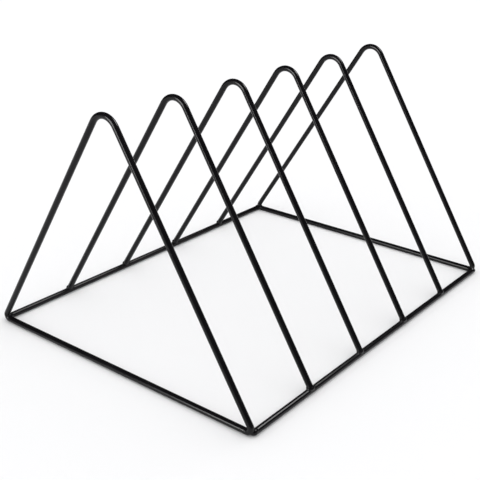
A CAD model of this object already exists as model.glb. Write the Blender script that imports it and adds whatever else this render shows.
"""A welded wire stand for photo albums, finished in black powder coat, on a pale studio floor."""

import math
import random

import bpy
from mathutils import Euler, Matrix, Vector


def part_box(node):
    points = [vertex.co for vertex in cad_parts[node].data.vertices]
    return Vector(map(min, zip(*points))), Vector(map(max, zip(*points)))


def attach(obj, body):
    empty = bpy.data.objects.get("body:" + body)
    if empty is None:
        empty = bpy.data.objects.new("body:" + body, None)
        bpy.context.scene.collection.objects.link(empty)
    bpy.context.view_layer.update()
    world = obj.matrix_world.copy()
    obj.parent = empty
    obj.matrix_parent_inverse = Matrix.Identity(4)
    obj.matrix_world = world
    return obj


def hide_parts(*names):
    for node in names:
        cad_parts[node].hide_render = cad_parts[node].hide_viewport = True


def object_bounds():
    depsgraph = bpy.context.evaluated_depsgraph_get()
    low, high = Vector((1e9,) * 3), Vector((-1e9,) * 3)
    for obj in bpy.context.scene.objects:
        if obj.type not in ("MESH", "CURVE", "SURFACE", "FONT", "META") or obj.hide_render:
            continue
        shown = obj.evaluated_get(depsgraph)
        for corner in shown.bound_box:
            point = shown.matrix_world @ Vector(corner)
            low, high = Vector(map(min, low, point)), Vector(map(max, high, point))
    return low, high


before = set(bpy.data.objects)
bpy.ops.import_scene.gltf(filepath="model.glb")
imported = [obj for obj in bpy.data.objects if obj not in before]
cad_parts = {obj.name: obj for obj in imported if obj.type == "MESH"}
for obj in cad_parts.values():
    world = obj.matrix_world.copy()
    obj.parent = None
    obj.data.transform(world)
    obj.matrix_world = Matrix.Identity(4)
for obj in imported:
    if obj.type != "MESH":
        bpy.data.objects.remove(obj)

bl_info = {
    "name": "Photo Album Stand",
    "version": (1, 0, 0),
    "blender": (4, 5, 0),
    "location": "View3D > Sidebar > Album Stand",
    "description": "Coats the wires of an album stand, runs its weld beads and sets up the studio",
    "category": "Object",
}

CAD_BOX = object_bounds()
MM = 0.001
BODY = "root"
WIRES = sorted(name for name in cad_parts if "weld" not in name)
FOOT_WELDS = sorted(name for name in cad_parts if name.startswith("foot_weld"))
CORNER_WELDS = sorted(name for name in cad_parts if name.startswith("corner_weld"))


def linear(colour):
    """An sRGB hex colour, as the linear numbers that a shader takes."""
    channels = [int(colour[start : start + 2], 16) / 255 for start in (1, 3, 5)]
    return [c / 12.92 if c <= 0.04045 else ((c + 0.055) / 1.055) ** 2.4 for c in channels]


TABLE = CAD_BOX[0].z
# Patches where the powder lies a little thicker or thinner.
CLOUD_SIZE = 14 * MM
# The coat over a bead is rougher than over drawn wire: more orange peel, and less gloss.
BEAD_PEEL = 1.6
BEAD_ROUGHNESS = 0.2
# CAD meshes are loose triangles, whose corners coincide.
MERGE_DISTANCE = 0.001 * MM
# The corner beads draw other random numbers than the foot beads do.
FOOT_SEED, CORNER_SEED = 1, 21


class CoatSettings(bpy.types.PropertyGroup):
    colour: bpy.props.FloatVectorProperty(
        name="Coat colour",
        description="Colour of the baked powder coat",
        subtype="COLOR",
        min=0,
        max=1,
        default=linear("#0d0c0e"),
    )
    gloss_roughness: bpy.props.FloatProperty(
        name="Roughness",
        description="Microscopic roughness of the coat, lower is glossier",
        subtype="FACTOR",
        min=0,
        max=1,
        default=0.17,
    )
    peel_spacing: bpy.props.FloatProperty(
        name="Orange peel spacing",
        description="Distance between the low swells that the powder leaves as it flows out",
        unit="LENGTH",
        default=1.6 * MM,
    )
    peel_height: bpy.props.FloatProperty(
        name="Orange peel height",
        description="Height of those swells",
        unit="LENGTH",
        default=0.03 * MM,
    )


class WeldSettings(bpy.types.PropertyGroup):
    voxel: bpy.props.FloatProperty(
        name="Bead mesh size",
        description="Edge length of the bead's mesh",
        unit="LENGTH",
        default=0.2 * MM,
    )
    flow: bpy.props.IntProperty(
        name="Flow",
        description="How often the bead is smoothed; more makes a wider hollow fillet",
        min=1,
        default=32,
    )
    reach: bpy.props.FloatProperty(
        name="Reach",
        description="How far the melted skin goes past the weld nugget, along each wire",
        unit="LENGTH",
        default=2.2 * MM,
    )
    swell: bpy.props.FloatProperty(
        name="Swell",
        description="Thickness added before the bead is smoothed, which smoothing takes off again",
        unit="LENGTH",
        default=0.066 * MM,
    )
    unevenness: bpy.props.FloatProperty(
        name="Unevenness",
        description="How far the surface of the nugget wanders",
        unit="LENGTH",
        default=0.12 * MM,
    )
    foot_stretch: bpy.props.FloatVectorProperty(
        name="Foot nugget",
        description="Width, length and height of a foot's nugget, as shares of its solid's",
        default=(0.95, 0.95, 0.95),
    )
    corner_stretch: bpy.props.FloatVectorProperty(
        name="Corner nugget",
        description="Width, length and height of a corner's nugget, as shares of its solid's",
        default=(1.04, 1.5, 1.04),
    )


class StudioSettings(bpy.types.PropertyGroup):
    floor_colour: bpy.props.FloatVectorProperty(
        name="Floor colour",
        description="Colour of the matt paper floor",
        subtype="COLOR",
        min=0,
        max=1,
        default=linear("#f1f1f2"),
    )
    floor_size: bpy.props.FloatProperty(
        name="Floor size",
        description="Side of the square floor",
        unit="LENGTH",
        default=30.0,
    )
    front_power: bpy.props.FloatProperty(
        name="Front softbox",
        description="Power of the softbox in front of the stand",
        unit="POWER",
        default=24.0,
    )
    rear_power: bpy.props.FloatProperty(
        name="Rear softbox",
        description="Power of the softbox behind and above the stand",
        unit="POWER",
        default=8.0,
    )
    azimuth: bpy.props.FloatProperty(
        name="Camera azimuth",
        description="0 looks along the rails from the front, and more goes round to the right",
        subtype="ANGLE",
        default=math.radians(36.89),
    )
    elevation: bpy.props.FloatProperty(
        name="Camera elevation",
        description="How far the camera looks down",
        subtype="ANGLE",
        default=math.radians(23.87),
    )
    roll: bpy.props.FloatProperty(
        name="Camera roll",
        description="Turn about the line of sight",
        subtype="ANGLE",
        default=math.radians(1.49),
    )
    distance: bpy.props.FloatProperty(
        name="Camera distance",
        description="From the lens to the point it is aimed at",
        unit="LENGTH",
        default=0.649,
    )
    lens: bpy.props.FloatProperty(
        name="Focal length",
        description="On a sensor 36 mm wide",
        unit="CAMERA",
        default=65.64,
    )
    shift: bpy.props.FloatVectorProperty(
        name="Lens shift",
        description="Sideways and upwards, as a share of the picture's width",
        size=2,
        default=(-0.0417, 0.0333),
    )


def deselect():
    for thing in bpy.context.selected_objects:
        thing.select_set(False)


def make_active(thing):
    deselect()
    thing.select_set(True)
    bpy.context.view_layer.objects.active = thing


def add_node(tree, kind, settings=None, links=None):
    """Adds a node, sets its properties and input values, and links outputs to its inputs."""
    node = tree.nodes.new(kind)
    for name, value in (settings or {}).items():
        if name in node.inputs:
            node.inputs[name].default_value = value
        else:
            setattr(node, name, value)
    for name, output in (links or {}).items():
        tree.links.new(output, node.inputs[name])
    return node


def new_material(name):
    material = bpy.data.materials.new(name)
    material.use_nodes = True
    material.node_tree.nodes.clear()
    return material, material.node_tree


def powder_coat(name, settings, peel_share, roughness):
    """Black polyester powder, sprayed dry and baked on steel wire.

    It flows out to a hard semi-gloss skin with a faint orange peel, so a highlight is
    crisp but wavers a little along the wire.
    """
    material, tree = new_material(name)
    place = add_node(tree, "ShaderNodeTexCoord")
    peel = add_node(
        tree,
        "ShaderNodeTexNoise",
        {"Scale": 1 / settings.peel_spacing, "Detail": 2.0, "Roughness": 0.45},
        {"Vector": place.outputs["Object"]},
    )
    cloud = add_node(
        tree,
        "ShaderNodeTexNoise",
        {"Scale": 1 / CLOUD_SIZE, "Detail": 3.0},
        {"Vector": place.outputs["Object"]},
    )
    sheen = add_node(
        tree,
        "ShaderNodeMapRange",
        {
            "From Min": 0.3,
            "From Max": 0.7,
            "To Min": roughness * 0.85,
            "To Max": roughness * 1.2,
        },
        {"Value": cloud.outputs["Fac"]},
    )
    dark, light = settings.colour, [c * 1.5 for c in settings.colour]
    tone = add_node(tree, "ShaderNodeValToRGB", links={"Fac": cloud.outputs["Fac"]})
    tone.color_ramp.elements[0].position = 0.35
    tone.color_ramp.elements[0].color = [*dark, 1]
    tone.color_ramp.elements[1].position = 0.7
    tone.color_ramp.elements[1].color = [*light, 1]
    bump = add_node(
        tree,
        "ShaderNodeBump",
        {"Strength": peel_share, "Distance": settings.peel_height},
        {"Height": peel.outputs["Fac"]},
    )
    coat = add_node(
        tree,
        "ShaderNodeBsdfPrincipled",
        {"IOR": 1.5, "Metallic": 0.0, "Specular IOR Level": 0.2},
        {
            "Base Color": tone.outputs["Color"],
            "Roughness": sheen.outputs["Result"],
            "Normal": bump.outputs["Normal"],
        },
    )
    add_node(tree, "ShaderNodeOutputMaterial", links={"Surface": coat.outputs["BSDF"]})
    return material


def give_material(thing, material):
    thing.data.materials.clear()
    thing.data.materials.append(material)


def wire_stub(node, low, high):
    """The stretch of a CAD wire that lies in a box, as a closed mesh of its own."""
    stub = bpy.data.objects.new(node + "_stub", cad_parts[node].data.copy())
    bpy.context.scene.collection.objects.link(stub)
    make_active(stub)
    bpy.ops.object.mode_set(mode="EDIT")
    bpy.ops.mesh.select_all(action="SELECT")
    bpy.ops.mesh.remove_doubles(threshold=MERGE_DISTANCE)
    for axis in range(3):
        for corner, sign in ((low, -1), (high, 1)):
            normal = Vector((0, 0, 0))
            normal[axis] = sign
            bpy.ops.mesh.select_all(action="SELECT")
            bpy.ops.mesh.bisect(plane_co=corner, plane_no=normal, use_fill=True, clear_outer=True)
    bpy.ops.object.mode_set(mode="OBJECT")
    return stub


def add_modifier(thing, kind, **settings):
    modifier = thing.modifiers.new(kind.title(), kind)
    for name, value in settings.items():
        setattr(modifier, name, value)
    return modifier


def apply_modifiers(thing):
    make_active(thing)
    for name in [modifier.name for modifier in thing.modifiers]:
        bpy.ops.object.modifier_apply(modifier=name)


def nugget(centre, half_size, unevenness, seed):
    """A lump of weld metal with a wandering surface."""
    deselect()
    bpy.ops.mesh.primitive_ico_sphere_add(subdivisions=4, radius=1, location=centre)
    lump = bpy.context.object
    lump.scale = half_size
    bpy.ops.object.transform_apply(location=True, rotation=False, scale=True)
    bpy.ops.object.mode_set(mode="EDIT")
    bpy.ops.mesh.select_all(action="SELECT")
    bpy.ops.transform.vertex_random(offset=unevenness, normal=1.0, seed=seed)
    bpy.ops.object.mode_set(mode="OBJECT")
    return lump


def weld_bead(node, wires, settings, seed, stretch):
    """Weld metal that has wetted two wires.

    Short stubs of both wires and a nugget between them are fused and then smoothed, which
    hollows the notch into a fillet and draws the rest just under the wires' own surfaces.
    """
    low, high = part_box(node)
    reach = Vector((1, 1, 1)) * settings.reach
    stubs = [wire_stub(wire, low - reach, high + reach) for wire in wires]
    for stub in stubs:
        add_modifier(stub, "DISPLACE", strength=settings.swell, mid_level=0)
        apply_modifiers(stub)
    spread = random.Random(seed)
    half_size = [side * share / 2 for side, share in zip(high - low, stretch)]
    half_size = Vector([side * spread.uniform(0.88, 1.0) for side in half_size])
    lump = nugget((low + high) / 2, half_size, settings.unevenness, seed)
    make_active(lump)
    for stub in stubs:
        stub.select_set(True)
    bpy.ops.object.join()
    add_modifier(lump, "REMESH", mode="VOXEL", voxel_size=settings.voxel)
    add_modifier(lump, "SMOOTH", factor=0.5, iterations=settings.flow)
    apply_modifiers(lump)
    lump.name = node.replace("weld", "bead")
    bpy.ops.object.shade_smooth()
    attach(lump, BODY)
    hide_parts(node)
    return lump


class STAND_OT_coat_wires(bpy.types.Operator):
    """Powder coat the bent wires and the side rails"""

    bl_idname = "stand.coat_wires"
    bl_label = "Coat the Wires"
    bl_options = {"REGISTER", "UNDO"}

    def execute(self, context):
        settings = context.scene.stand_coat
        coat = powder_coat("black_powder_coat", settings, 1.0, settings.gloss_roughness)
        for node in WIRES:
            give_material(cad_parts[node], coat)
        return {"FINISHED"}


class STAND_OT_foot_welds(bpy.types.Operator):
    """Run a weld bead round every divider foot"""

    bl_idname = "stand.foot_welds"
    bl_label = "Weld the Divider Feet"
    bl_options = {"REGISTER", "UNDO"}

    def execute(self, context):
        settings = context.scene.stand_weld
        coat = powder_coat(
            "powder_coat_over_foot_weld", context.scene.stand_coat, BEAD_PEEL, BEAD_ROUGHNESS
        )
        for seed, node in enumerate(FOOT_WELDS, start=FOOT_SEED):
            _, _, number, side = node.split("_")
            wires = [f"divider_{number}", f"side_rail_{side}"]
            bead = weld_bead(node, wires, settings, seed, settings.foot_stretch)
            give_material(bead, coat)
        return {"FINISHED"}


class STAND_OT_corner_welds(bpy.types.Operator):
    """Weld the rails' ends to the corners of the end triangles"""

    bl_idname = "stand.corner_welds"
    bl_label = "Weld the Corners"
    bl_options = {"REGISTER", "UNDO"}

    def execute(self, context):
        settings = context.scene.stand_weld
        coat = powder_coat(
            "powder_coat_over_corner_weld", context.scene.stand_coat, BEAD_PEEL, BEAD_ROUGHNESS
        )
        for seed, node in enumerate(CORNER_WELDS, start=CORNER_SEED):
            _, _, end, side = node.split("_")
            wires = [f"end_frame_{end}", f"side_rail_{side}"]
            bead = weld_bead(node, wires, settings, seed, settings.corner_stretch)
            give_material(bead, coat)
        return {"FINISHED"}


def paper_floor(settings):
    """Matt white background paper, rolled out flat. Its fibres scatter light, without a sheen."""
    material, tree = new_material("matt_background_paper")
    place = add_node(tree, "ShaderNodeTexCoord")
    fibre = add_node(
        tree,
        "ShaderNodeTexNoise",
        {"Scale": 1 / (2 * MM), "Detail": 4.0},
        {"Vector": place.outputs["Object"]},
    )
    bump = add_node(
        tree,
        "ShaderNodeBump",
        {"Strength": 0.15, "Distance": 0.05 * MM},
        {"Height": fibre.outputs["Fac"]},
    )
    paper = add_node(
        tree,
        "ShaderNodeBsdfPrincipled",
        {
            "Base Color": [*settings.floor_colour, 1],
            "Roughness": 0.9,
            "Specular IOR Level": 0.0,
        },
        {"Normal": bump.outputs["Normal"]},
    )
    add_node(tree, "ShaderNodeOutputMaterial", links={"Surface": paper.outputs["BSDF"]})
    return material


def towards(azimuth, elevation):
    """A unit vector. Azimuth 0 points to the front of the stand, and 90 to its right."""
    around, up = math.radians(azimuth), math.radians(elevation)
    flat = Vector((math.sin(around), -math.cos(around), 0))
    return flat * math.cos(up) + Vector((0, 0, math.sin(up)))


def softbox(name, aim, direction, distance, width, height, power):
    """A rectangular softbox that faces a point from a direction, and is seen only in gloss.

    The wires' highlights are its reflections. The room alone lights the paper, evenly.
    """
    deselect()
    bpy.ops.object.light_add(type="AREA", location=aim + direction * distance)
    light = bpy.context.object
    light.name = name
    light.visible_camera = False
    light.visible_diffuse = False
    light.rotation_euler = direction.to_track_quat("Z", "Y").to_euler()
    light.data.shape = "RECTANGLE"
    light.data.size = width
    light.data.size_y = height
    light.data.energy = power
    return light


def white_room(zenith, horizon):
    """The evenly lit room. It lights the paper, and the glossy coat doesn't mirror it."""
    world = bpy.data.worlds.new("studio")
    world.use_nodes = True
    tree = world.node_tree
    tree.nodes.clear()
    place = add_node(tree, "ShaderNodeTexCoord")
    split = add_node(tree, "ShaderNodeSeparateXYZ", links={"Vector": place.outputs["Generated"]})
    height = add_node(
        tree,
        "ShaderNodeMapRange",
        {"From Min": 0.02, "From Max": 0.3},
        {"Value": split.outputs["Z"]},
    )
    tone = add_node(tree, "ShaderNodeValToRGB", links={"Fac": height.outputs["Result"]})
    tone.color_ramp.elements[0].color = [horizon, horizon, horizon, 1]
    tone.color_ramp.elements[1].color = [zenith, zenith, zenith, 1]
    glow = add_node(tree, "ShaderNodeBackground", links={"Color": tone.outputs["Color"]})
    add_node(tree, "ShaderNodeOutputWorld", links={"Surface": glow.outputs["Background"]})
    bpy.context.scene.world = world
    world.cycles_visibility.glossy = False


def make_camera(settings, aim):
    back = towards(math.degrees(settings.azimuth), math.degrees(settings.elevation))
    deselect()
    bpy.ops.object.camera_add(location=aim + back * settings.distance)
    camera = bpy.context.object
    upright = back.to_track_quat("Z", "Y").to_matrix()
    tilt = Euler((0, 0, settings.roll)).to_matrix()
    camera.rotation_euler = (upright @ tilt).to_euler()
    camera.data.lens = settings.lens
    camera.data.shift_x, camera.data.shift_y = settings.shift
    camera.data.clip_start = 0.01
    bpy.context.scene.camera = camera


class STAND_OT_studio(bpy.types.Operator):
    """Lay the pale floor, set the softboxes and place the camera"""

    bl_idname = "stand.studio"
    bl_label = "Set Up the Studio"
    bl_options = {"REGISTER", "UNDO"}

    def execute(self, context):
        settings = context.scene.stand_studio
        deselect()
        bpy.ops.mesh.primitive_plane_add(size=settings.floor_size, location=(0, 0, TABLE))
        floor = bpy.context.object
        floor.name = "floor"
        bpy.ops.object.transform_apply(location=True)
        give_material(floor, paper_floor(settings))
        softbox(
            "front_softbox",
            aim=Vector((-0.42, CAD_BOX[0].y, 0.46)),
            direction=towards(azimuth=0, elevation=0),
            distance=1.2,
            width=0.8,
            height=0.72,
            power=settings.front_power,
        )
        softbox(
            "rear_softbox",
            aim=Vector((CAD_BOX[1].x, CAD_BOX[0].y, TABLE)),
            direction=towards(azimuth=165, elevation=50),
            distance=1.2,
            width=0.5,
            height=0.4,
            power=settings.rear_power,
        )
        white_room(zenith=1.16, horizon=0.97)
        middle_of_stand = (CAD_BOX[0] + CAD_BOX[1]) / 2
        make_camera(settings, aim=middle_of_stand + Vector((13.8, -14.7, -45.3)) * MM)
        context.scene.view_settings.view_transform = "Standard"
        return {"FINISHED"}


class STAND_PT_panel(bpy.types.Panel):
    """Lists the stand's settings and steps"""

    bl_idname = "STAND_PT_panel"
    bl_label = "Photo Album Stand"
    bl_space_type = "VIEW_3D"
    bl_region_type = "UI"
    bl_category = "Album Stand"

    def draw(self, context):
        steps = (
            (context.scene.stand_coat, ["stand.coat_wires"]),
            (context.scene.stand_weld, ["stand.foot_welds", "stand.corner_welds"]),
            (context.scene.stand_studio, ["stand.studio"]),
        )
        for settings, operators in steps:
            box = self.layout.box()
            for name in settings.bl_rna.properties.keys():
                if name not in ("rna_type", "name"):
                    box.prop(settings, name)
            for operator in operators:
                box.operator(operator)


CLASSES = (
    CoatSettings,
    WeldSettings,
    StudioSettings,
    STAND_OT_coat_wires,
    STAND_OT_foot_welds,
    STAND_OT_corner_welds,
    STAND_OT_studio,
    STAND_PT_panel,
)


def register():
    for one in CLASSES:
        bpy.utils.register_class(one)
    bpy.types.Scene.stand_coat = bpy.props.PointerProperty(type=CoatSettings)
    bpy.types.Scene.stand_weld = bpy.props.PointerProperty(type=WeldSettings)
    bpy.types.Scene.stand_studio = bpy.props.PointerProperty(type=StudioSettings)


def unregister():
    del bpy.types.Scene.stand_studio
    del bpy.types.Scene.stand_weld
    del bpy.types.Scene.stand_coat
    for one in reversed(CLASSES):
        bpy.utils.unregister_class(one)


def main():
    register()
    bpy.ops.stand.coat_wires()
    bpy.ops.stand.foot_welds()
    bpy.ops.stand.corner_welds()
    bpy.ops.stand.studio()


if __name__ == "__main__":
    main()
